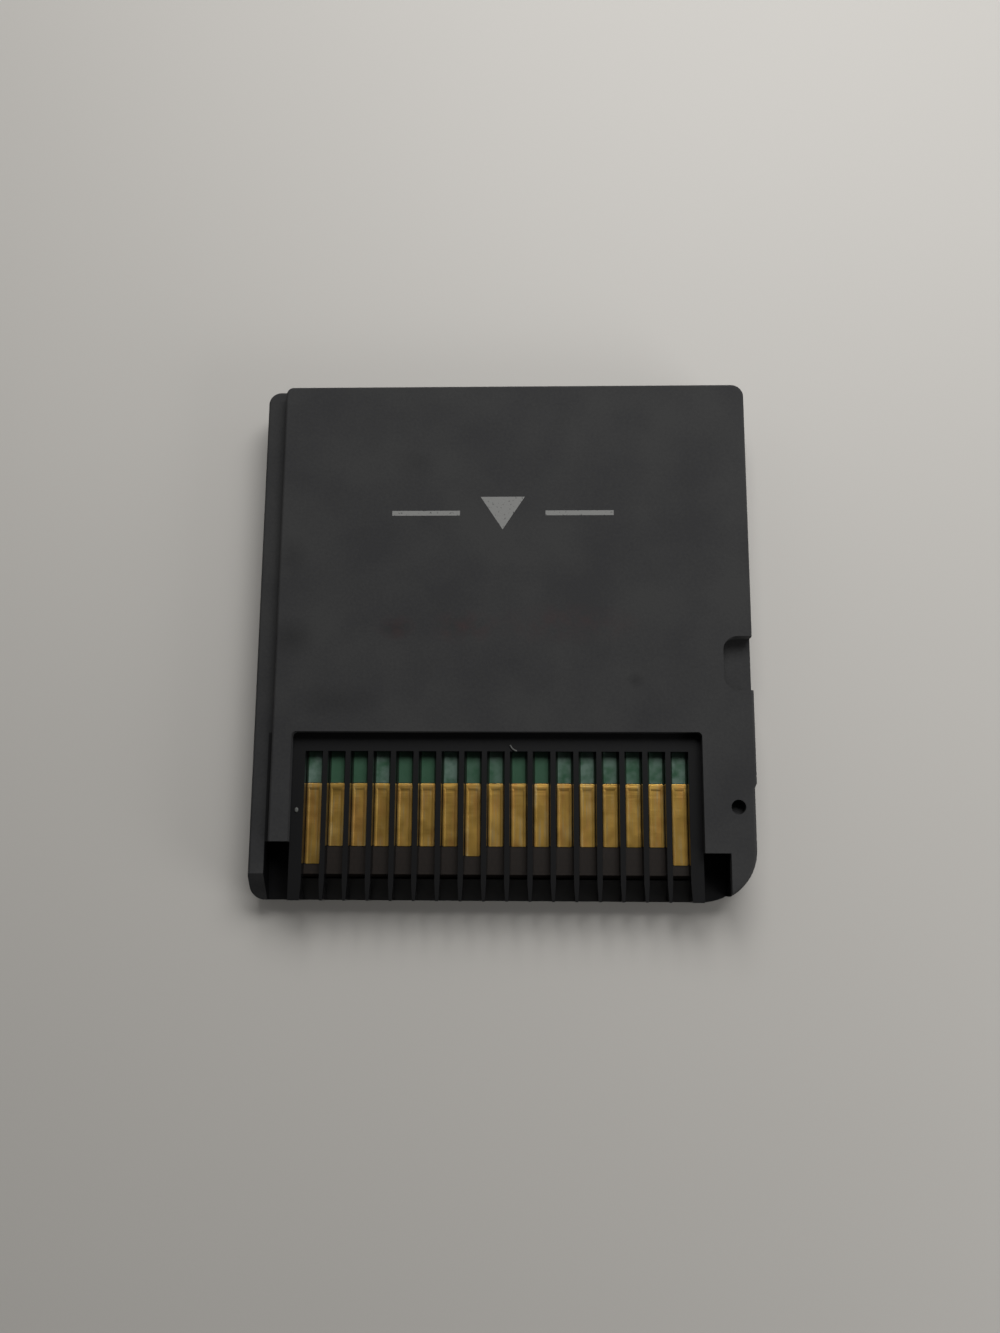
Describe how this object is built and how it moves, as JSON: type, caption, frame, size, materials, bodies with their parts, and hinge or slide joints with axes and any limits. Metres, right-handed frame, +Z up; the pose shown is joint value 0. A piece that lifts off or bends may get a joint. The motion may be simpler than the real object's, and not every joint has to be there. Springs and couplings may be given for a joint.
{
  "type": "game cartridge",
  "caption": "Thin black game card with a guide ledge, a latch notch and a row of gilded contacts in a comb-ribbed window, lying with its contacts up.",
  "frame": {"origin": "middle of the footprint, on the front face that the card lies on", "axes": "+Y from the contact end to the trailing end, +Z up through the rear face, +X to the side with the latch notch"},
  "size_m": [0.033, 0.035, 0.0038],
  "materials": {
    "shell_plastic": "fine moulded texture, black",
    "solder_mask": "green solder mask over glass laminate",
    "gilded_contacts": "gold plate with fine wear lines",
    "chip_plastic": "moulded epoxy",
    "tinned_leads": "dull tin",
    "capacitor_ceramic": "fired ceramic, tan"
  },
  "bodies": {
    "root": {"rear_shell": "shell_plastic", "front_shell": "shell_plastic", "circuit_board": "solder_mask", "memory_chip": "chip_plastic", "save_chip": "chip_plastic", "memory_leads": "tinned_leads", "save_leads": "tinned_leads", "capacitor_1": "capacitor_ceramic", "capacitor_2": "capacitor_ceramic", "capacitor_3": "capacitor_ceramic", "capacitor_ends": "tinned_leads", "contact_01": "gilded_contacts", "contact_02": "gilded_contacts", "contact_03": "gilded_contacts", "contact_04": "gilded_contacts", "contact_05": "gilded_contacts", "contact_06": "gilded_contacts", "contact_07": "gilded_contacts", "contact_08": "gilded_contacts", "contact_09": "gilded_contacts", "contact_10": "gilded_contacts", "contact_11": "gilded_contacts", "contact_12": "gilded_contacts", "contact_13": "gilded_contacts", "contact_14": "gilded_contacts", "contact_15": "gilded_contacts", "contact_16": "gilded_contacts", "contact_17": "gilded_contacts"}
  },
  "joints": []
}
